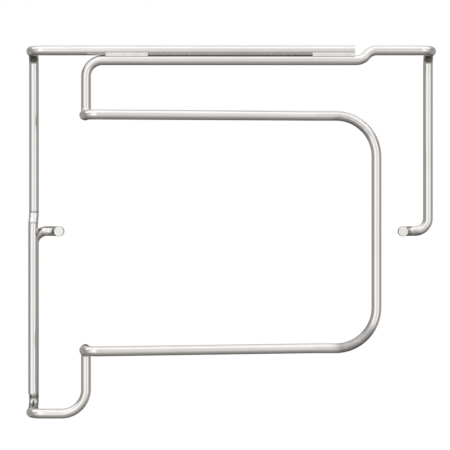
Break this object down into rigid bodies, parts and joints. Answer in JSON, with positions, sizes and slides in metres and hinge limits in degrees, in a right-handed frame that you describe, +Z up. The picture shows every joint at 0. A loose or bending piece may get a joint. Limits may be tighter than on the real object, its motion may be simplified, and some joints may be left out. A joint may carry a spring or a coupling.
{
  "type": "wall rack frame",
  "caption": "Rack frame of round stainless rod, with a looped arm that slopes out of its plane, a lapped and welded brace rod, and two short parallel pins that plug into wall fittings.",
  "frame": {"origin": "midway between the two mounting pins, in the plane where both pins come straight out of their bends", "axes": "+X along the rack to the right seen from the front, +Z up, -Y the way the two pins point and the loop leans out"},
  "size_m": [0.5044, 0.1061, 0.4564],
  "materials": {
    "rod_steel": "polished stainless rod with a fine satin grain along its length",
    "weld_steel": "ground and brushed stainless weld"
  },
  "bodies": {
    "root": {"frame_rod": "rod_steel", "brace_rod": "rod_steel", "weld_top_left": "weld_steel", "weld_top_right": "weld_steel", "weld_side_upper": "weld_steel", "weld_side_lower": "weld_steel"}
  },
  "joints": []
}
